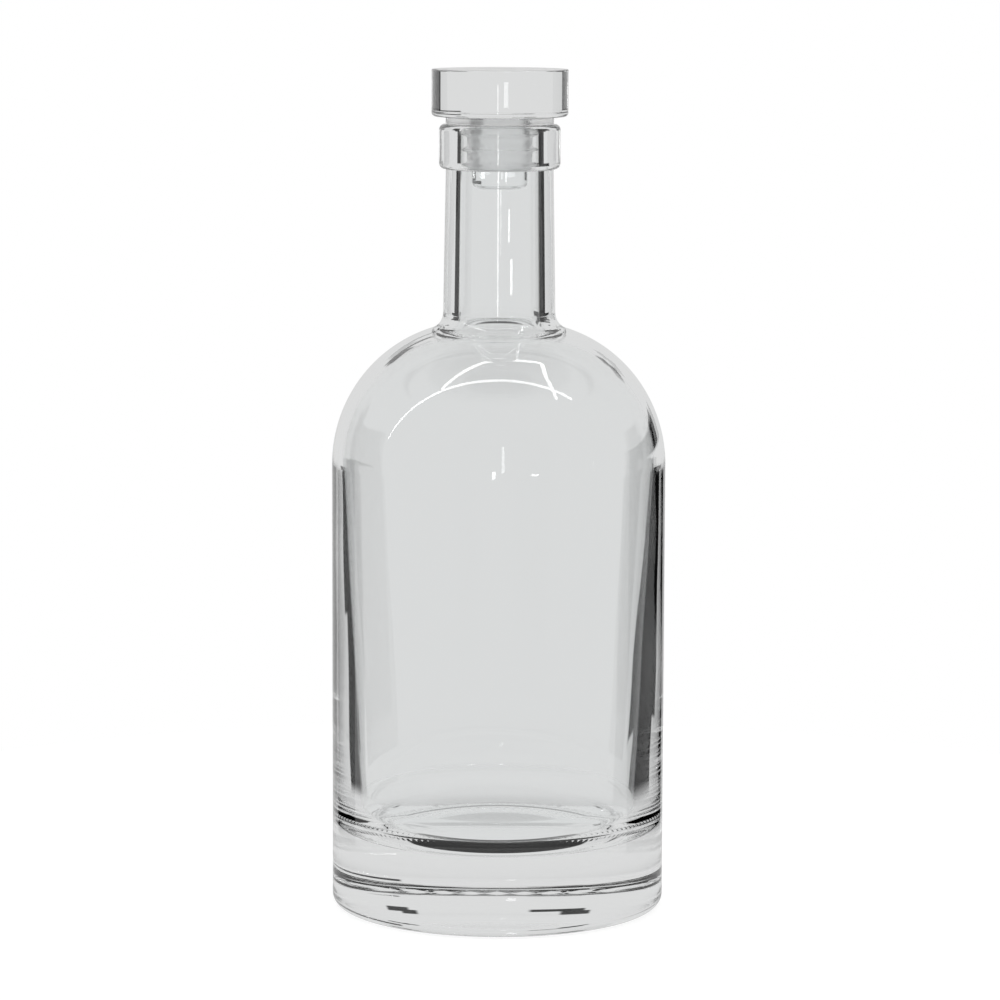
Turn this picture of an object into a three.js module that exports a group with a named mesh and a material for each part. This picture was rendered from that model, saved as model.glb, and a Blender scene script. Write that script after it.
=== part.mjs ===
import * as THREE from "three";

// Glass decanter with a glass stopper on a clear seal.
// Millimetres, +Z up. The origin is the centre of the ring that the decanter stands on.

// Driving sizes of the bottle's outside
const BODY_DIAMETER = 88;
const SHOULDER_START = 118;
const SHOULDER_REACH = 37;
const SHOULDER_RISE = 37.5;
const NECK_LENGTH = 52;
const NECK_TOP_DIAMETER = 28.2;
const NECK_FLARE = 0.7;
const NECK_ROOT_RADIUS = 4.5;
const NECK_START_MARGIN = 0.5;
const COLLAR_HEIGHT = 11.7;
const COLLAR_OVERHANG = 1.8;
const COLLAR_EDGE_RADIUS = 1.5;

// Driving sizes of the bottle's foot
const HEEL_RADIUS = 3;
const STANDING_RING_WIDTH = 5;
const PUSH_UP_HEIGHT = 2.4;
const FLOOR_THICKNESS = 19;
const FLOOR_CORNER_RADIUS = 11;

// Driving sizes of the bottle's walls
const WALL_AT_FLOOR = 7.2;
const WALL_AT_SHOULDER = 2.8;
const WALL_AT_CROWN = 3.2;
const NECK_WALL = 3.9;
const BORE_FLARE = 0.5;
const BORE_ROOT_RADIUS = 6;
const LIP_INNER_RADIUS = 0.8;

// Driving sizes of the stopper
const HEAD_DIAMETER = 35.8;
const HEAD_HEIGHT = 12.4;
const HEAD_TOP_CHAMFER = 0.35;
const HEAD_BOTTOM_RADIUS = 1.1;
const PLUG_DIAMETER = 14.6;
const PLUG_REACH = 4.7;
const PLUG_END_RADIUS = 1.8;
const PLUG_ROOT_RADIUS = 0.6;

// Driving sizes of the seal
const FLANGE_DIAMETER = 28.3;
const FLANGE_THICKNESS = 1.9;
const FLANGE_EDGE_RADIUS = 0.4;
const SLEEVE_DEPTH = 12.1;
const SLEEVE_WALL = 1.1;
const FIN_COUNT = 3;
const FIN_THICKNESS = 0.8;
const FIN_END_MARGIN = 1.6;

// Clearances
const PLUG_IN_SLEEVE = 0.12;
const FIN_IN_BORE = 0.12;

// Steps in each full turn and in each quarter turn of an edge
const BOTTLE_FACETS = 64;
const STOPPER_FACETS = 48;
const SHOULDER_STEPS = 11;
const LARGE_ARC_STEPS = 5;
const SMALL_ARC_STEPS = 3;

// Heights and radii that follow from the sizes
const BODY_R = BODY_DIAMETER / 2;
const SHOULDER_CENTRE_R = BODY_R - SHOULDER_REACH;
const SHOULDER_TOP = SHOULDER_START + SHOULDER_RISE;
const LIP_Z = SHOULDER_TOP + NECK_LENGTH;
const COLLAR_BOTTOM = LIP_Z - COLLAR_HEIGHT;
const NECK_R = NECK_TOP_DIAMETER / 2;
const COLLAR_R = NECK_R + COLLAR_OVERHANG;
const BORE_R = NECK_R - NECK_WALL;
const FLANGE_R = FLANGE_DIAMETER / 2;
const HEAD_R = HEAD_DIAMETER / 2;
const PLUG_R = PLUG_DIAMETER / 2;
const HEAD_Z = LIP_Z + FLANGE_THICKNESS;
const SLEEVE_END_Z = LIP_Z - SLEEVE_DEPTH;
const PLUG_END_Z = SLEEVE_END_Z - PLUG_REACH;
const FIN_R = BORE_R - FIN_IN_BORE;

// Points of an arc of the given half axes from one angle to the other
function arc(cx, cy, rx, ry, from, to, steps) {
  const points = [];
  for (let i = 0; i <= steps; i += 1) {
    const t = from + ((to - from) * i) / steps;
    points.push(new THREE.Vector2(cx + rx * Math.cos(t), cy + ry * Math.sin(t)));
  }
  return points;
}

function point(r, z) {
  return new THREE.Vector2(r, z);
}

// A body turned from its profile, with its axis upright
function turned(profile, facets) {
  const kept = profile.filter((p, i) => i === 0 || p.distanceTo(profile[i - 1]) > 1e-4);
  const geometry = new THREE.LatheGeometry(kept, facets);
  geometry.rotateX(Math.PI / 2);
  return geometry;
}

// The neck's outer radius and the bore's radius, both a little wider at the root than at the top
function neckRadius(z) {
  return NECK_R + (NECK_FLARE * (COLLAR_BOTTOM - z)) / (COLLAR_BOTTOM - SHOULDER_TOP);
}

function boreRadius(z) {
  return BORE_R + (BORE_FLARE * (LIP_Z - z)) / (LIP_Z - SHOULDER_TOP);
}

// The arc that joins a shoulder curve of half axes rx and rz to a neck line, and the shoulder's last angle
function rootArc(rx, rz, radius, lineAt) {
  const centreAt = (t) => {
    const normal = new THREE.Vector2(rz * Math.cos(t), rx * Math.sin(t)).normalize();
    const touch = point(SHOULDER_CENTRE_R + rx * Math.cos(t), SHOULDER_START + rz * Math.sin(t));
    return touch.addScaledVector(normal, radius);
  };
  let low = 0;
  let high = Math.PI / 2;
  for (let i = 0; i < 50; i += 1) {
    const middle = (low + high) / 2;
    const centre = centreAt(middle);
    if (centre.x - radius > lineAt(centre.y)) {
      low = middle;
    } else {
      high = middle;
    }
  }
  const centre = centreAt(low);
  const slope = Math.atan2(rx * Math.sin(low), rz * Math.cos(low));
  const steps = LARGE_ARC_STEPS;
  return { last: low, points: arc(centre.x, centre.y, radius, radius, Math.PI + slope, Math.PI, steps) };
}

// The underside, from the axis out over the shallow push-up to the standing ring
function footProfile() {
  const ringOuter = BODY_R - HEEL_RADIUS;
  const domeR = ringOuter - STANDING_RING_WIDTH;
  const radius = (domeR * domeR + PUSH_UP_HEIGHT * PUSH_UP_HEIGHT) / (2 * PUSH_UP_HEIGHT);
  const half = Math.asin(domeR / radius);
  const up = Math.PI / 2;
  const dome = arc(0, PUSH_UP_HEIGHT - radius, radius, radius, up, up - half, LARGE_ARC_STEPS);
  dome[0].x = 0;
  dome[dome.length - 1].y = 0;
  const heel = arc(ringOuter, HEEL_RADIUS, HEEL_RADIUS, HEEL_RADIUS, -Math.PI / 2, 0, LARGE_ARC_STEPS);
  heel[0].y = 0;
  return [...dome, ...heel];
}

// The root arcs outside and inside, and the height where both have run out into the straight neck
function outerRoot() {
  return rootArc(SHOULDER_REACH, SHOULDER_RISE, NECK_ROOT_RADIUS, neckRadius);
}

function innerRoot() {
  return rootArc(SHOULDER_REACH - WALL_AT_SHOULDER, SHOULDER_RISE - WALL_AT_CROWN, BORE_ROOT_RADIUS, boreRadius);
}

function neckStart() {
  return Math.max(outerRoot().points.at(-1).y, innerRoot().points.at(-1).y) + NECK_START_MARGIN;
}

// The outside from the straight side over the shoulder to the start of the neck
function outerProfile() {
  const root = outerRoot();
  const start = neckStart();
  return [
    ...arc(SHOULDER_CENTRE_R, SHOULDER_START, SHOULDER_REACH, SHOULDER_RISE, 0, root.last, SHOULDER_STEPS),
    ...root.points,
    point(neckRadius(start), start),
  ];
}

// The inside from the start of the neck down the shoulder and the thickening wall to the floor
function innerProfile() {
  const reach = SHOULDER_REACH - WALL_AT_SHOULDER;
  const rise = SHOULDER_RISE - WALL_AT_CROWN;
  const root = innerRoot();
  const start = neckStart();
  const corner = FLOOR_CORNER_RADIUS;
  const footR = BODY_R - WALL_AT_FLOOR;
  return [
    point(boreRadius(start), start),
    ...root.points.reverse(),
    ...arc(SHOULDER_CENTRE_R, SHOULDER_START, reach, rise, root.last, 0, SHOULDER_STEPS),
    ...arc(footR - corner, FLOOR_THICKNESS + corner, corner, corner, 0, -Math.PI / 2, LARGE_ARC_STEPS),
    point(0, FLOOR_THICKNESS),
  ];
}

// The straight neck with its collar, which goes on from the body in one piece of glass
function neckGeometry() {
  const start = neckStart();
  const edge = COLLAR_EDGE_RADIUS;
  const edgeR = COLLAR_R - edge;
  const lip = LIP_INNER_RADIUS;
  const profile = [
    point(boreRadius(start), start),
    point(neckRadius(start), start),
    point(NECK_R, COLLAR_BOTTOM),
    ...arc(edgeR, COLLAR_BOTTOM + edge, edge, edge, -Math.PI / 2, 0, SMALL_ARC_STEPS),
    ...arc(edgeR, LIP_Z - edge, edge, edge, 0, Math.PI / 2, SMALL_ARC_STEPS),
    ...arc(BORE_R + lip, LIP_Z - lip, lip, lip, Math.PI / 2, Math.PI, SMALL_ARC_STEPS),
    point(boreRadius(start), start),
  ];
  return turned(profile, BOTTLE_FACETS);
}

function bottleGeometry() {
  return turned([...footProfile(), ...outerProfile(), ...innerProfile()], BOTTLE_FACETS);
}

// The stopper is one piece of glass: a flat head and the plug under it
function stopperGeometry() {
  const topZ = HEAD_Z + HEAD_HEIGHT;
  const end = PLUG_END_RADIUS;
  const root = PLUG_ROOT_RADIUS;
  const edge = HEAD_BOTTOM_RADIUS;
  const profile = [
    point(0, PLUG_END_Z),
    ...arc(PLUG_R - end, PLUG_END_Z + end, end, end, -Math.PI / 2, 0, SMALL_ARC_STEPS),
    ...arc(PLUG_R + root, HEAD_Z - root, root, root, Math.PI, Math.PI / 2, SMALL_ARC_STEPS),
    ...arc(HEAD_R - edge, HEAD_Z + edge, edge, edge, -Math.PI / 2, 0, SMALL_ARC_STEPS),
    point(HEAD_R, topZ - HEAD_TOP_CHAMFER),
    point(HEAD_R - HEAD_TOP_CHAMFER, topZ),
    point(0, topZ),
  ];
  profile[1].y = PLUG_END_Z;
  return turned(profile, STOPPER_FACETS);
}

// The seal is one moulding: a flange between lip and head, and a sleeve with fins round the plug
function sealGeometry() {
  const innerR = PLUG_R + PLUG_IN_SLEEVE;
  const coreR = innerR + SLEEVE_WALL;
  const recess = PLUG_ROOT_RADIUS + PLUG_IN_SLEEVE;
  const edge = FLANGE_EDGE_RADIUS;
  const firstZ = SLEEVE_END_Z + FIN_END_MARGIN;
  const lastZ = LIP_Z - LIP_INNER_RADIUS - FIN_END_MARGIN;
  const outside = [];
  for (let i = 0; i < FIN_COUNT; i += 1) {
    const z = FIN_COUNT > 1 ? firstZ + ((lastZ - firstZ) * i) / (FIN_COUNT - 1) : (firstZ + lastZ) / 2;
    outside.push(point(coreR, z - FIN_THICKNESS));
    outside.push(point(FIN_R, z - FIN_THICKNESS / 4));
    outside.push(point(FIN_R, z + FIN_THICKNESS / 4));
    outside.push(point(coreR, z + FIN_THICKNESS));
  }
  const profile = [
    point(innerR, SLEEVE_END_Z),
    point(coreR, SLEEVE_END_Z),
    ...outside,
    point(coreR, LIP_Z),
    ...arc(FLANGE_R - edge, LIP_Z + edge, edge, edge, -Math.PI / 2, 0, 2),
    ...arc(FLANGE_R - edge, HEAD_Z - edge, edge, edge, 0, Math.PI / 2, 2),
    point(innerR + recess, HEAD_Z),
    point(innerR, HEAD_Z - recess),
    point(innerR, SLEEVE_END_Z),
  ];
  return turned(profile, STOPPER_FACETS);
}

function glassMaterial() {
  return new THREE.MeshStandardMaterial({
    color: 0xdfe4e4,
    roughness: 0.03,
    metalness: 0,
    transparent: true,
    opacity: 0.35,
  });
}

function sealMaterial() {
  return new THREE.MeshStandardMaterial({
    color: 0xe4e6e6,
    roughness: 0.3,
    metalness: 0,
    transparent: true,
    opacity: 0.6,
  });
}

function named(name, geometry, material) {
  const mesh = new THREE.Mesh(geometry, material);
  mesh.name = name;
  return mesh;
}

// The stopper and its seal lift out together
function makeStopper() {
  const group = new THREE.Group();
  group.add(named("glass_stopper", stopperGeometry(), glassMaterial()));
  group.add(named("stopper_seal", sealGeometry(), sealMaterial()));
  return group;
}

const decanter = new THREE.Group();
decanter.add(named("bottle", bottleGeometry(), glassMaterial()));
decanter.add(named("bottle_neck", neckGeometry(), glassMaterial()));
decanter.add(makeStopper());

export default decanter;
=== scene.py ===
import math

import bmesh
import bpy
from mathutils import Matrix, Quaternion, Vector, noise


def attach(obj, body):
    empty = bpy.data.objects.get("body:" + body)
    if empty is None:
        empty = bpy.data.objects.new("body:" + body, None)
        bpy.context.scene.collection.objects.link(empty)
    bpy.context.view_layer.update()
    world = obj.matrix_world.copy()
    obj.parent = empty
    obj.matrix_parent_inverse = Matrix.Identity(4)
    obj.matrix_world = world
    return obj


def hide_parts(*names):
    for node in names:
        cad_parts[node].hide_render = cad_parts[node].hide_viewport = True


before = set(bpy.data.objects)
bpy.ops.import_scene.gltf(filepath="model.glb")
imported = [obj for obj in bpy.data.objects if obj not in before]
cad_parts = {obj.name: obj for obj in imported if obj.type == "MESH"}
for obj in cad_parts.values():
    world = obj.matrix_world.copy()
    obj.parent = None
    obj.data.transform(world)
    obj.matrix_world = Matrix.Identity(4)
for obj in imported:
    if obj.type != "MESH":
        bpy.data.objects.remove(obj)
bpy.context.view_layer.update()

mm = 0.001
weldGap = 0.002 * mm  # points of a turned shape closer than this are one
scene = bpy.context.scene
scene.view_settings.view_transform = "Standard"


def linear(hexColour):
    parts = [int(hexColour[i : i + 2], 16) / 255 for i in (1, 3, 5)]
    return tuple(c / 12.92 if c <= 0.04045 else ((c + 0.055) / 1.055) ** 2.4 for c in parts) + (1.0,)


def addNode(tree, kind, links=None, **settings):  # adds a node with its settings, links and socket values
    node = tree.nodes.new(kind)
    for name, value in settings.items():
        setattr(node, name, value)
    for socket, source in (links or {}).items():
        if isinstance(source, bpy.types.NodeSocket):
            tree.links.new(source, node.inputs[socket])
        else:
            node.inputs[socket].default_value = source
    return node


def newMaterial(name):
    material = bpy.data.materials.new(name)
    material.use_nodes = True
    material.node_tree.nodes.clear()
    return material, material.node_tree


# Turned shapes: a half section is drawn point by point in mm, r from the axis and z up, then spun
def startAt(bm, r, z):
    return bm.verts.new((r * mm, 0, z * mm))


def lineTo(bm, pen, r, z):
    end = bmesh.ops.extrude_vert_indiv(bm, verts=[pen])["verts"][0]
    bmesh.ops.translate(bm, verts=[end], vec=Vector((r * mm, 0, z * mm)) - end.co)
    return end


def wallTo(bm, pen, r, z, rows=1, hold=0.12, mostShare=0.2):
    # Straight run with a short row at each end, hold mm long, so that smooth shading stays flat on it
    begin = Vector((pen.co.x, pen.co.z)) / mm
    run = Vector((r, z)) - begin
    side = min(hold / run.length, mostShare)
    for share in [side] + [i / rows for i in range(1, rows)] + [1 - side, 1]:
        pen = lineTo(bm, pen, *(begin + run * share))
    return pen


def arcTo(bm, pen, r, z, degrees, steps):
    # Swings the pen about a centre, anticlockwise with r to the right and z up
    swept = bmesh.ops.spin(
        bm, geom=[pen], cent=(r * mm, 0, z * mm), axis=(0, -1, 0), angle=math.radians(degrees), steps=steps,
        use_merge=False, use_duplicate=False,
    )
    return next(v for v in swept["geom_last"] if isinstance(v, bmesh.types.BMVert))


def stretchUp(bm, verts, fromZ, factor):  # makes a round arc elliptical, away from a height
    for vert in verts:
        vert.co.z = fromZ * mm + (vert.co.z - fromZ * mm) * factor


def turnRound(bm, steps):
    bmesh.ops.spin(
        bm, geom=bm.verts[:] + bm.edges[:], cent=(0, 0, 0), axis=(0, 0, 1), angle=math.tau, steps=steps,
        use_merge=True, use_duplicate=False,
    )
    bmesh.ops.remove_doubles(bm, verts=bm.verts, dist=weldGap)
    bmesh.ops.recalc_face_normals(bm, faces=bm.faces)
    for face in bm.faces:
        face.smooth = True


def finishPiece(bm, name, material, body, slot, *nodes):
    mesh = bpy.data.meshes.new(name)
    bm.to_mesh(mesh)
    bm.free()
    mesh.materials.append(material)
    piece = bpy.data.objects.new(name, mesh)
    scene.collection.objects.link(piece)
    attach(piece, body)
    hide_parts(*nodes)
    print(name, len(mesh.polygons), "faces")
    return piece


glassLook = {
    "tint": "#FDFEFE",
    "ior": 1.52,
    "waveSize": 26,  # mm, slow unevenness left by blowing
    "waveHeight": 0.02,  # mm
    "chillSize": 5,  # mm, finer marks where the glass met the cooler mould
    "chillHeight": 0.0009,  # mm
    "smearSize": 18,  # mm, faint handling film
    "smearFrom": 0.45,  # noise values between which the film builds up
    "smearTo": 0.75,
    "roughLow": 0.0,
    "roughHigh": 0.012,
}


pressedLook = {**glassLook, "waveSize": 12, "waveHeight": 0.006}  # the stopper's, flatter than blown glass


def glassMaterial(name, look):
    # Soda-lime glass, mould blown and fire polished: clear and sharp, with slow waves in what shows through
    material, tree = newMaterial(name)
    place = addNode(tree, "ShaderNodeTexCoord").outputs["Object"]
    waves = addNode(
        tree, "ShaderNodeTexNoise", {"Vector": place, "Scale": 1 / (look["waveSize"] * mm), "Detail": 1.0}
    )
    chill = addNode(
        tree, "ShaderNodeTexNoise", {"Vector": place, "Scale": 1 / (look["chillSize"] * mm), "Detail": 2.0}
    )
    smear = addNode(
        tree, "ShaderNodeTexNoise", {"Vector": place, "Scale": 1 / (look["smearSize"] * mm), "Detail": 4.0}
    )
    broad = addNode(
        tree,
        "ShaderNodeBump",
        {"Strength": 1.0, "Distance": look["waveHeight"] * mm, "Height": waves.outputs[0]},
    )
    fine = addNode(
        tree,
        "ShaderNodeBump",
        {
            "Strength": 1.0,
            "Distance": look["chillHeight"] * mm,
            "Height": chill.outputs[0],
            "Normal": broad.outputs[0],
        },
    )
    film = addNode(
        tree,
        "ShaderNodeMapRange",
        {
            "Value": smear.outputs[0],
            "From Min": look["smearFrom"],
            "From Max": look["smearTo"],
            "To Min": look["roughLow"],
            "To Max": look["roughHigh"],
        },
    )
    shader = addNode(
        tree,
        "ShaderNodeBsdfPrincipled",
        {
            "Base Color": linear(look["tint"]),
            "Transmission Weight": 1.0,
            "IOR": look["ior"],
            "Roughness": film.outputs[0],
            "Normal": fine.outputs[0],
        },
    )
    addNode(tree, "ShaderNodeOutputMaterial", {"Surface": shader.outputs[0]})
    return material


bottle = {
    "steps": 360,
    "bodyR": 44.0,
    "heelR": 3.0,
    "ringWidth": 5.0,
    "ringRows": (36.4, 37.2, 38.4, 39.6, 40.4),
    "pushUp": 2.4,
    "shoulderZ": 118.0,
    "shoulderReach": 37.0,
    "shoulderRise": 37.5,
    "neckFootR": 14.75,
    "neckTopR": 14.1,
    "rootR": 4.5,
    "collarZ": 195.8,
    "collarR": 15.9,
    "collarEdge": 1.5,
    "lipZ": 207.5,
    "boreR": 10.2,
    "boreFootR": 10.68,
    "boreRootR": 6.0,
    "lipEdge": 0.8,
    "wallAtShoulder": 2.8,
    "wallAtCrown": 3.2,
    "wallAtFloor": 7.2,
    "floorZ": 19.0,
    "floorCornerR": 11.0,
    "floorRows": (25.6, 20, 10),
    "wallRows": 30,
    "ridges": 90,  # knurl on the standing ring
    "ridgeDepth": 0.35,
    "ridgeFromR": 36.6,
    "ridgeToR": 41,
    "ridgeRows": (36.8, 40.9),  # the rows of points between these radii are moved
    "ridgeBelow": 0.1,  # and only those lower than this
    "ridgeRise": 0.8,  # how far a ridge takes to reach its depth, at its inner end
    "ridgeFall": 0.6,  # the same at its outer end
    "wallWander": 0.16,  # unevenness of the inner wall
    "wallWanderSize": 34.0,
    "wallWanderFade": 15,
}


def shoulderAndRoot(bm, pen, reach, rise, lineR, rootR, inward, steps, rootSteps):
    # The shoulder's arc and the arc that takes it into the neck or bore line
    b = bottle
    centreR = b["bodyR"] - b["shoulderReach"]
    lean = math.degrees(math.asin((lineR + rootR - centreR) / (reach + rootR)))
    rootZ = b["shoulderZ"] + (reach + rootR) * math.cos(math.radians(lean))
    before = len(bm.verts)
    if inward:
        pen = arcTo(bm, pen, lineR + rootR, rootZ, 90 - lean, rootSteps)
        pen = arcTo(bm, pen, centreR, b["shoulderZ"], lean - 90, steps)
    else:
        pen = arcTo(bm, pen, centreR, b["shoulderZ"], 90 - lean, steps)
        pen = arcTo(bm, pen, lineR + rootR, rootZ, lean - 90, rootSteps)
    bm.verts.ensure_lookup_table()
    return pen, bm.verts[before:]


def rootHeight(reach, lineR, rootR):
    centreR = bottle["bodyR"] - bottle["shoulderReach"]
    return bottle["shoulderZ"] + math.sqrt((reach + rootR) ** 2 - (lineR + rootR - centreR) ** 2)


def drawBottle(bm):
    b = bottle
    ringOuter = b["bodyR"] - b["heelR"]
    domeEdge = ringOuter - b["ringWidth"]
    domeR = (domeEdge**2 + b["pushUp"] ** 2) / (2 * b["pushUp"])
    pen = startAt(bm, 0, b["pushUp"])
    pen = arcTo(bm, pen, 0, b["pushUp"] - domeR, -math.degrees(math.asin(domeEdge / domeR)), 10)
    for r in (*b["ringRows"], ringOuter):
        pen = lineTo(bm, pen, r, 0)
    pen = arcTo(bm, pen, ringOuter, b["heelR"], 90, 12)
    pen = wallTo(bm, pen, b["bodyR"], b["shoulderZ"])
    pen, curved = shoulderAndRoot(
        bm, pen, b["shoulderReach"], b["shoulderRise"], b["neckFootR"], b["rootR"], False, 34, 10
    )
    stretchUp(bm, curved, b["shoulderZ"], b["shoulderRise"] / b["shoulderReach"])
    edge = b["collarEdge"]
    pen = wallTo(bm, pen, b["neckTopR"], b["collarZ"])
    pen = wallTo(bm, pen, b["collarR"] - edge, b["collarZ"], hold=0.04)
    pen = arcTo(bm, pen, b["collarR"] - edge, b["collarZ"] + edge, 90, 10)
    pen = wallTo(bm, pen, b["collarR"], b["lipZ"] - edge)
    pen = arcTo(bm, pen, b["collarR"] - edge, b["lipZ"] - edge, 90, 10)
    pen = wallTo(bm, pen, b["boreR"] + b["lipEdge"], b["lipZ"])
    pen = arcTo(bm, pen, b["boreR"] + b["lipEdge"], b["lipZ"] - b["lipEdge"], 90, 8)
    reach = b["shoulderReach"] - b["wallAtShoulder"]
    rise = b["shoulderRise"] - b["wallAtCrown"]
    rootZ = rootHeight(reach, b["boreFootR"], b["boreRootR"])
    pen = wallTo(bm, pen, b["boreFootR"], b["shoulderZ"] + (rootZ - b["shoulderZ"]) * rise / reach)
    pen.co.z = rootZ * mm  # the curve is drawn round and then stretched with this point
    start = pen
    pen, curved = shoulderAndRoot(bm, pen, reach, rise, b["boreFootR"], b["boreRootR"], True, 30, 10)
    stretchUp(bm, [start, *curved], b["shoulderZ"], rise / reach)
    corner = b["floorCornerR"]
    footR = b["bodyR"] - b["wallAtFloor"]
    pen = wallTo(bm, pen, footR, b["floorZ"] + corner, rows=b["wallRows"])
    pen = arcTo(bm, pen, footR - corner, b["floorZ"] + corner, -90, 16)
    for r in b["floorRows"]:
        pen = lineTo(bm, pen, r, b["floorZ"])
    lineTo(bm, pen, 0, b["floorZ"])


def cutKnurl(bm):  # short radial ridges on the standing ring
    b = bottle
    inside, outside = b["ridgeRows"]
    for vert in bm.verts:
        r = math.hypot(vert.co.x, vert.co.y) / mm
        if not inside < r < outside or vert.co.z > b["ridgeBelow"] * mm:
            continue
        wave = 0.5 - 0.5 * math.cos(math.atan2(vert.co.y, vert.co.x) * b["ridges"])
        fade = min(1, (r - b["ridgeFromR"]) / b["ridgeRise"], (b["ridgeToR"] - r) / b["ridgeFall"])
        vert.co.z += b["ridgeDepth"] * wave * fade * mm


def wanderWall(bm):  # the inner wall is shaped by air, so its thickness wanders a little
    b = bottle
    low, high = b["floorZ"] + b["floorCornerR"], b["shoulderZ"]
    for vert in bm.verts:
        r = math.hypot(vert.co.x, vert.co.y)
        z = vert.co.z / mm
        if r > (b["bodyR"] - b["wallAtShoulder"] / 2) * mm or not low < z < high:
            continue
        fade = min(1, (z - low) / b["wallWanderFade"]) * min(1, (high - z) / b["wallWanderFade"])
        shift = noise.noise(vert.co / (b["wallWanderSize"] * mm)) * b["wallWander"] * fade * mm
        vert.co.x *= 1 + shift / r
        vert.co.y *= 1 + shift / r


def makeBottle(material):
    bm = bmesh.new()
    drawBottle(bm)
    turnRound(bm, bottle["steps"])
    cutKnurl(bm)
    wanderWall(bm)
    return finishPiece(bm, "mouldedBottle", material, "bottle", "clear_glass", "bottle", "bottle_neck")


stopper = {
    "steps": 240,
    "headR": 17.9,
    "headZ": 209.45,
    "topZ": 221.8,
    "topEdge": 0.35,
    "bottomEdge": 1.1,
    "plugR": 7.3,
    "plugEndZ": 190.7,
    "plugEdge": 1.8,
    "plugRootR": 0.6,
}


def makeStopper(material):
    s = stopper
    bm = bmesh.new()
    end, root, edge, top = s["plugEdge"], s["plugRootR"], s["bottomEdge"], s["topEdge"]
    pen = startAt(bm, 0, s["plugEndZ"])
    pen = wallTo(bm, pen, s["plugR"] - end, s["plugEndZ"])
    pen = arcTo(bm, pen, s["plugR"] - end, s["plugEndZ"] + end, 90, 10)
    pen = wallTo(bm, pen, s["plugR"], s["headZ"] - root)
    pen = arcTo(bm, pen, s["plugR"] + root, s["headZ"] - root, -90, 8)
    pen = wallTo(bm, pen, s["headR"] - edge, s["headZ"])
    pen = arcTo(bm, pen, s["headR"] - edge, s["headZ"] + edge, 90, 10)
    pen = wallTo(bm, pen, s["headR"], s["topZ"] - top)
    pen = arcTo(bm, pen, s["headR"] - top, s["topZ"] - top, 90, 5)
    wallTo(bm, pen, 0, s["topZ"])
    turnRound(bm, s["steps"])
    return finishPiece(bm, "pressedGlassStopper", material, "stopper", "stopper_glass", "glass_stopper")


seal = {
    "steps": 180,
    "innerR": 7.42,
    "coreR": 8.52,
    "coreEdge": 0.2,
    "finR": 10.08,
    "flangeR": 14.15,
    "bottomZ": 195.4,
    "lipZ": 207.55,
    "topZ": 209.35,
    "flangeEdge": 0.4,
    "finMiddles": (197.0, 201.05, 205.1),
    "finHalf": 0.8,
    "finTip": 0.2,
    "recess": 0.72,
}


def makeSeal(material):
    s = seal
    bm = bmesh.new()
    edge, tip = s["flangeEdge"], s["finTip"]
    first = startAt(bm, s["innerR"], s["bottomZ"])
    pen = lineTo(bm, first, s["coreR"] - s["coreEdge"], s["bottomZ"])
    pen = arcTo(bm, pen, s["coreR"] - s["coreEdge"], s["bottomZ"] + s["coreEdge"], 90, 3)
    for middle in s["finMiddles"]:
        pen = lineTo(bm, pen, s["coreR"], middle - s["finHalf"])
        pen = lineTo(bm, pen, s["finR"] - tip, middle - tip)
        pen = arcTo(bm, pen, s["finR"] - tip, middle, 180, 6)
        pen = lineTo(bm, pen, s["coreR"], middle + s["finHalf"])
    pen = lineTo(bm, pen, s["coreR"], s["lipZ"])
    pen = wallTo(bm, pen, s["flangeR"] - edge, s["lipZ"])
    pen = arcTo(bm, pen, s["flangeR"] - edge, s["lipZ"] + edge, 90, 5)
    pen = lineTo(bm, pen, s["flangeR"], s["topZ"] - edge)
    pen = arcTo(bm, pen, s["flangeR"] - edge, s["topZ"] - edge, 90, 5)
    pen = wallTo(bm, pen, s["innerR"] + s["recess"], s["topZ"])
    pen = lineTo(bm, pen, s["innerR"], s["topZ"] - s["recess"])
    lineTo(bm, pen, s["innerR"], s["bottomZ"])
    turnRound(bm, s["steps"])
    return finishPiece(bm, "mouldedSeal", material, "stopper", "clear_soft_plastic", "stopper_seal")


sealLook = {
    "colour": "#FEFEFE",
    "ior": 1.1,  # under real silicone's, which keeps the fins faint behind the glass
    "clear": 0.95,
    "roughLow": 0.36,
    "roughHigh": 0.5,
    "grainSize": 0.9,  # mm, satin of the mould
    "grainHeight": 0.004,  # mm
    "flowSize": 6,  # mm, slow change of the satin where the silicone flowed
}


def sealMaterial(look):
    # Soft clear silicone, injection moulded: a little milky, with a satin skin that blurs what is behind it
    material, tree = newMaterial("mouldedClearSilicone")
    place = addNode(tree, "ShaderNodeTexCoord").outputs["Object"]
    grain = addNode(
        tree, "ShaderNodeTexNoise", {"Vector": place, "Scale": 1 / (look["grainSize"] * mm), "Detail": 3.0}
    )
    flow = addNode(
        tree, "ShaderNodeTexNoise", {"Vector": place, "Scale": 1 / (look["flowSize"] * mm), "Detail": 2.0}
    )
    bump = addNode(
        tree,
        "ShaderNodeBump",
        {"Strength": 1.0, "Distance": look["grainHeight"] * mm, "Height": grain.outputs[0]},
    )
    rough = addNode(
        tree,
        "ShaderNodeMapRange",
        {"Value": flow.outputs[0], "To Min": look["roughLow"], "To Max": look["roughHigh"]},
    )
    shader = addNode(
        tree,
        "ShaderNodeBsdfPrincipled",
        {
            "Base Color": linear(look["colour"]),
            "Transmission Weight": look["clear"],
            "IOR": look["ior"],
            "Roughness": rough.outputs[0],
            "Normal": bump.outputs[0],
        },
    )
    addNode(tree, "ShaderNodeOutputMaterial", {"Surface": shader.outputs[0]})
    return material


makeBottle(glassMaterial("mouldedFlintGlass", glassLook))
makeStopper(glassMaterial("pressedFlintGlass", pressedLook))
makeSeal(sealMaterial(sealLook))
print("decanter made")


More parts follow.
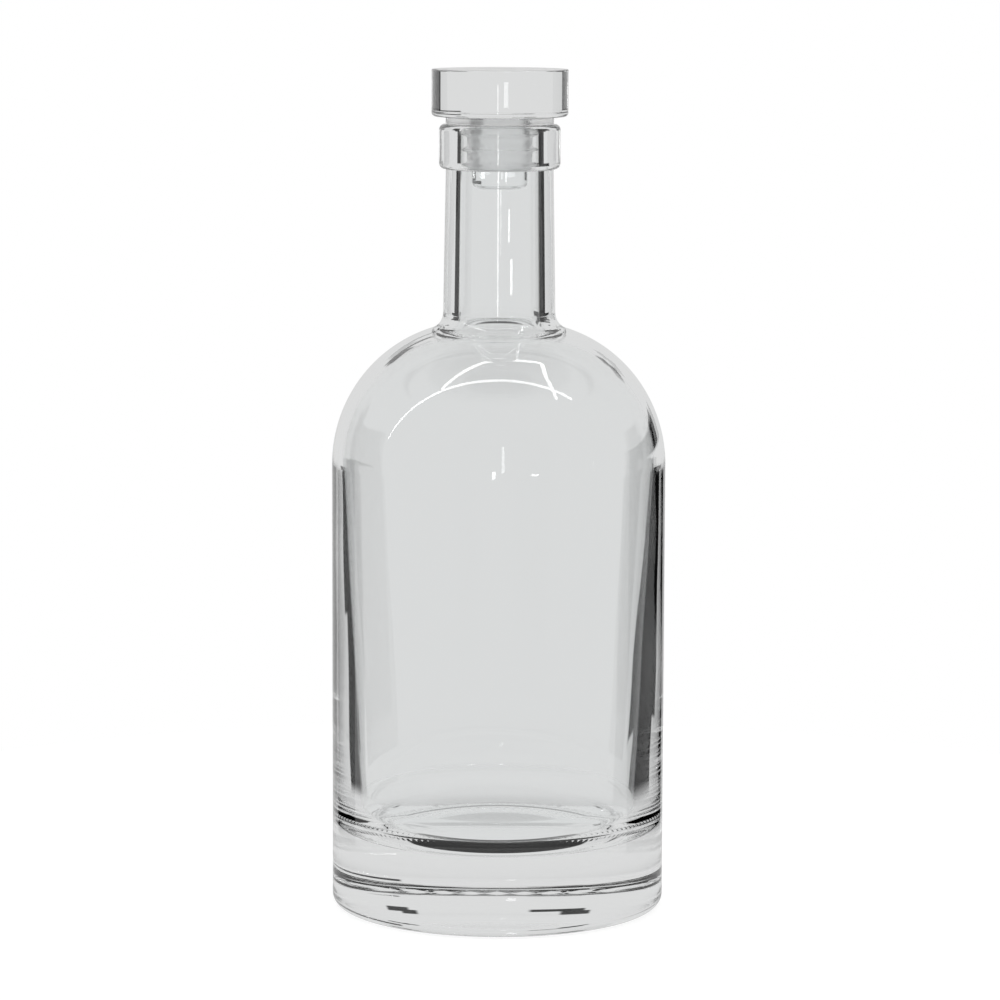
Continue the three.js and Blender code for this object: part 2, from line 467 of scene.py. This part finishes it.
# A bright sweep around the glass with dark panels at its sides, and a light tent's lamps overhead
studio = {
    "cameraGround": 1.0,  # white to the camera
    "sweep": 0.715,  # what glass shows, through itself and mirrored
    "around": 0.55,  # what lights the matt surfaces
    "roof": 0.45,  # above the sweep, dimmer than it
    "roofEdge": 0.84,  # sine of the height where the roof starts at the sides
    "roofTilt": 0.055,  # it starts lower at the back
    "roofBlend": 0.015,
    "under": 0.01,  # painted shade: near black straight down through the standing ring, in place of the shade under the decanter
    "underEdge": -0.72,  # sine of the depth where that starts
    "underBlend": 0.02,
    "edge": 0.12,  # degrees, softness of a panel's upper and lower edges
    "sideEdge": 0.8,  # degrees, softness of its sides
    # Each panel: azimuth from +Y towards -X, half width, lowest and highest elevation in degrees, its level
    "panels": [
        (-53, 26, -20.5, -16, 0.004),
        (-49.5, 29, -16.2, -7.1, 0.004),
        (-59, 19, -7.2, -3.0, 0.004),
        (-61, 17, -3.1, -2.32, 0.004),
        (-65, 15, -2.4, -1.2, 0.004),
        (-51.5, 26.5, -1.3, 6, 0.004),
        (49, 12, -20.5, -16, 0.004),
        (47.5, 15, -16.2, -7.1, 0.004),
        (53.5, 9, -7.2, -3.0, 0.004),
        (58.5, 10, -3.1, -2.32, 0.004),
        (68, 12, -2.4, -1.2, 0.004),
        (-27, 4, 18.2, 22.2, 0.01),
        (-23, 2.5, 20.5, 24, 0.01),
        (15, 7.5, 18.0, 20.4, 0.01),
        (20, 4.5, 20.2, 23.5, 0.01),
    ],
}


def panelShare(tree, level, up, azimuth, half, low, high):  # 1 inside a panel, 0 outside
    edge, side = studio["edge"], studio["sideEdge"]
    turn = math.radians(azimuth)
    facing = addNode(
        tree,
        "ShaderNodeVectorMath",
        {0: level, 1: (-math.sin(turn), math.cos(turn), 0)},
        operation="DOT_PRODUCT",
    ).outputs["Value"]
    spans = [
        (facing, math.cos(math.radians(half + side)), math.cos(math.radians(half - side))),
        (up, math.sin(math.radians(low - edge)), math.sin(math.radians(low + edge))),
        (up, math.sin(math.radians(high + edge)), math.sin(math.radians(high - edge))),
    ]
    share = 1.0
    for value, outside, inside in spans:
        ramp = addNode(
            tree,
            "ShaderNodeMapRange",
            {"Value": value, "From Min": outside, "From Max": inside},
            interpolation_type="SMOOTHSTEP",
        )
        both = {0: ramp.outputs[0], 1: share}
        share = addNode(tree, "ShaderNodeMath", both, operation="MULTIPLY").outputs[0]
    return share


def makeWorld(s):
    world = bpy.data.worlds.new("studioWorld")
    world.use_nodes = True
    scene.world = world
    tree = world.node_tree
    tree.nodes.clear()
    direction = addNode(tree, "ShaderNodeTexCoord").outputs["Generated"]
    up = addNode(tree, "ShaderNodeSeparateXYZ", {0: direction}).outputs["Z"]
    flat = addNode(tree, "ShaderNodeVectorMath", {0: direction, 1: (1, 1, 0)}, operation="MULTIPLY")
    level = addNode(tree, "ShaderNodeVectorMath", {0: flat.outputs[0]}, operation="NORMALIZE").outputs[0]
    depth = addNode(tree, "ShaderNodeSeparateXYZ", {0: level}).outputs["Y"]
    tilted = addNode(
        tree, "ShaderNodeMath", {0: depth, 1: s["roofTilt"], 2: up}, operation="MULTIPLY_ADD"
    ).outputs[0]
    seen = addNode(
        tree,
        "ShaderNodeMapRange",
        {
            "Value": tilted,
            "From Min": s["roofEdge"] - s["roofBlend"],
            "From Max": s["roofEdge"] + s["roofBlend"],
            "To Min": s["sweep"],
            "To Max": s["roof"],
        },
    ).outputs[0]
    # painted shade: straight down, the glass sees near black in place of the shade under the decanter
    paintedShadeDown = addNode(
        tree,
        "ShaderNodeMapRange",
        {
            "Value": up,
            "From Min": s["underEdge"] + s["underBlend"],
            "From Max": s["underEdge"] - s["underBlend"],
        },
        interpolation_type="SMOOTHSTEP",
    ).outputs[0]
    seen = addNode(
        tree, "ShaderNodeMix", {"Factor": paintedShadeDown, "A": seen, "B": s["under"]}, data_type="FLOAT"
    ).outputs[0]
    for azimuth, half, low, high, tone in s["panels"]:
        share = panelShare(tree, level, up, azimuth, half, low, high)
        seen = addNode(
            tree, "ShaderNodeMix", {"Factor": share, "A": seen, "B": tone}, data_type="FLOAT"
        ).outputs[0]
    path = addNode(tree, "ShaderNodeLightPath")
    glass = addNode(
        tree,
        "ShaderNodeMath",
        {0: path.outputs["Is Transmission Ray"], 1: path.outputs["Is Glossy Ray"]},
        operation="MAXIMUM",
    )
    mirrored = addNode(
        tree, "ShaderNodeMix", {"Factor": glass.outputs[0], "A": s["around"], "B": seen}, data_type="FLOAT"
    )
    shown = addNode(
        tree,
        "ShaderNodeMix",
        {"Factor": path.outputs["Is Camera Ray"], "A": mirrored.outputs[0], "B": s["cameraGround"]},
        data_type="FLOAT",
    )
    back = addNode(tree, "ShaderNodeBackground", {"Color": (1, 1, 1, 1), "Strength": shown.outputs[0]})
    addNode(tree, "ShaderNodeOutputWorld", {"Surface": back.outputs[0]})


floorLook = {
    "radius": 0.26,  # m
    "segments": 128,
    "drop": 0.05,  # mm under the standing ring
    "paper": "#8C8C8C",
    "cameraGlow": 0.86,
    "glassGlow": 0.52,  # what the glass shows of the paper, on top of its lit colour; a painted shadow ramp dims it near the decanter
    "footIn": 0.043,  # m from the axis, inside which glass sees past the paper to the world: painted shade straight down, the bright sweep at shallower angles
    "footOut": 0.046,
    "paintedShadowStart": 0.015,  # painted shadow: where the paper's glow, as the glass sees it, comes out of a shadow painted round the decanter by distance alone
    "paintedShadowEnd": 0.063,
    "fadeStart": 0.113,
    "fadeEnd": 0.129,
}


def makeFloor(f):
    # Matt white sweep paper: white to the camera, with the decanter's faint shadow on it; to the glass it
    # glows, with a painted shadow round the decanter
    bm = bmesh.new()
    bmesh.ops.create_circle(bm, cap_ends=True, segments=f["segments"], radius=f["radius"])
    bmesh.ops.translate(bm, verts=bm.verts, vec=(0, 0, -f["drop"] * mm))
    mesh = bpy.data.meshes.new("sweepFloor")
    bm.to_mesh(mesh)
    bm.free()
    material, tree = newMaterial("mattSweepPaper")
    place = addNode(tree, "ShaderNodeTexCoord").outputs["Object"]
    reach = addNode(tree, "ShaderNodeVectorMath", {0: place}, operation="LENGTH").outputs["Value"]
    outOfPaintedShadow = addNode(
        tree,
        "ShaderNodeMapRange",
        {"Value": reach, "From Min": f["paintedShadowStart"], "From Max": f["paintedShadowEnd"]},
        interpolation_type="SMOOTHSTEP",
    )
    clear = addNode(
        tree,
        "ShaderNodeMapRange",
        {"Value": reach, "From Min": f["fadeStart"], "From Max": f["fadeEnd"]},
        interpolation_type="SMOOTHSTEP",
    )
    # under the decanter the glass sees through the paper to the world, whose painted shade lies straight
    # down
    foot = addNode(
        tree,
        "ShaderNodeMapRange",
        {"Value": reach, "From Min": f["footOut"], "From Max": f["footIn"]},
        interpolation_type="SMOOTHSTEP",
    )
    path = addNode(tree, "ShaderNodeLightPath")
    glass = addNode(
        tree,
        "ShaderNodeMath",
        {0: path.outputs["Is Transmission Ray"], 1: path.outputs["Is Glossy Ray"]},
        operation="MAXIMUM",
    ).outputs[0]
    # painted shadow: the glow that the glass sees of the paper is dimmed near the decanter by distance
    # alone
    paintedShadowGlow = addNode(
        tree, "ShaderNodeMath", {0: outOfPaintedShadow.outputs[0], 1: f["glassGlow"]}, operation="MULTIPLY"
    )
    glassSees = addNode(
        tree, "ShaderNodeMath", {0: paintedShadowGlow.outputs[0], 1: glass}, operation="MULTIPLY"
    ).outputs[0]
    strength = addNode(
        tree,
        "ShaderNodeMath",
        {0: path.outputs["Is Camera Ray"], 1: f["cameraGlow"], 2: glassSees},
        operation="MULTIPLY_ADD",
    )
    paper = addNode(tree, "ShaderNodeBsdfDiffuse", {"Color": linear(f["paper"])})
    glow = addNode(tree, "ShaderNodeEmission", {"Color": (1, 1, 1, 1), "Strength": strength.outputs[0]})
    white = addNode(tree, "ShaderNodeAddShader", {0: paper.outputs[0], 1: glow.outputs[0]})
    # Right under the decanter and far from it the paper gives way to the sweep; under the decanter the
    # glass sees the world's painted shade straight down
    gone = addNode(tree, "ShaderNodeBsdfTransparent", {"Color": (1, 1, 1, 1)})
    either = addNode(tree, "ShaderNodeMath", {0: clear.outputs[0], 1: foot.outputs[0]}, operation="MAXIMUM")
    fade = addNode(
        tree, "ShaderNodeMath", {0: either.outputs[0], 1: glass}, operation="MULTIPLY"
    ).outputs[0]
    both = addNode(tree, "ShaderNodeMixShader", {0: fade, 1: white.outputs[0], 2: gone.outputs[0]})
    addNode(tree, "ShaderNodeOutputMaterial", {"Surface": both.outputs[0]})
    mesh.materials.append(material)
    floor = bpy.data.objects.new("sweepFloor", mesh)
    scene.collection.objects.link(floor)


lamps = {
    "roofHeight": 1.14,  # m
    "stripWidth": 0.045,
    "stripRadiance": 8.0,
    # Seams of the tent's roof, each from x, y to x, y in m
    "strips": [
        ((-3.6, -0.218), (0.92, -0.218)),
        ((-0.62, -0.188), (-0.12, 0.135)),
        ((-0.12, 0.135), (0.34, 0.225)),
        ((0.34, 0.225), (0.44, -0.04)),
        ((0.44, -0.04), (0.7, -0.36)),
    ],
    "frontPlace": (-0.07, -1.2, 0.115),
    "frontSize": (0.05, 0.13),
    "frontRadiance": 5.0,
    "frontAim": (0, 0, 0.19),
    "sidePlace": (0.5, -1.09, 0.116),
    "sideSize": (0.1, 0.02),
    "sideRadiance": 9.0,
    "sideAim": (0, 0, 0.21),
}


def makeLamp(name, place, size, radiance, aim, turn=None, through=True):
    lamp = bpy.data.lights.new(name, "AREA")
    lamp.shape = "RECTANGLE"
    lamp.size, lamp.size_y = size
    lamp.energy = radiance * math.pi * size[0] * size[1]
    holder = bpy.data.objects.new(name, lamp)
    holder.location = place
    if turn is None:
        holder.rotation_euler = (Vector(aim) - Vector(place)).to_track_quat("-Z", "Y").to_euler()
    else:
        holder.rotation_euler = (0, 0, turn)  # faces straight down
    holder.visible_camera = False
    holder.visible_transmission = through
    scene.collection.objects.link(holder)


def makeLamps(m):
    for i, (start, end) in enumerate(m["strips"]):
        run = Vector(end) - Vector(start)
        middle = (Vector(end) + Vector(start)) / 2
        makeLamp(
            f"roofStrip{i}", (middle.x, middle.y, m["roofHeight"]), (run.length, m["stripWidth"]),
            m["stripRadiance"], None, turn=math.atan2(run.y, run.x), through=False,
        )
    makeLamp("frontCard", m["frontPlace"], m["frontSize"], m["frontRadiance"], m["frontAim"])
    makeLamp("sideCard", m["sidePlace"], m["sideSize"], m["sideRadiance"], m["sideAim"])


# Long lens on a tripod, as in the product photograph
view = {
    "lens": 149.7,
    "distance": 1.1,
    "rise": 7.55,  # degrees above the horizontal
    "roll": 0.2,
    "sensor": 36,  # mm
    "farthest": 20,  # m
    "target": (0.00037, 0, 0.10833),
}


def makeCamera(v):
    camera = bpy.data.objects.new("productCamera", bpy.data.cameras.new("productCamera"))
    camera.data.lens = v["lens"]
    camera.data.sensor_width = v["sensor"]
    rise = math.radians(v["rise"])
    target = Vector(v["target"])
    camera.location = target + Vector((0, -math.cos(rise), math.sin(rise))) * v["distance"]
    aim = (target - camera.location).to_track_quat("-Z", "Y")
    aim = aim @ Quaternion((0, 0, 1), math.radians(v["roll"]))
    camera.rotation_euler = aim.to_euler()
    camera.data.clip_end = v["farthest"]
    scene.collection.objects.link(camera)
    scene.camera = camera


makeWorld(studio)
makeFloor(floorLook)
makeLamps(lamps)
makeCamera(view)
scene.cycles.max_bounces = 32
scene.cycles.transmission_bounces = 32
scene.cycles.glossy_bounces = 12
print("studio ready")
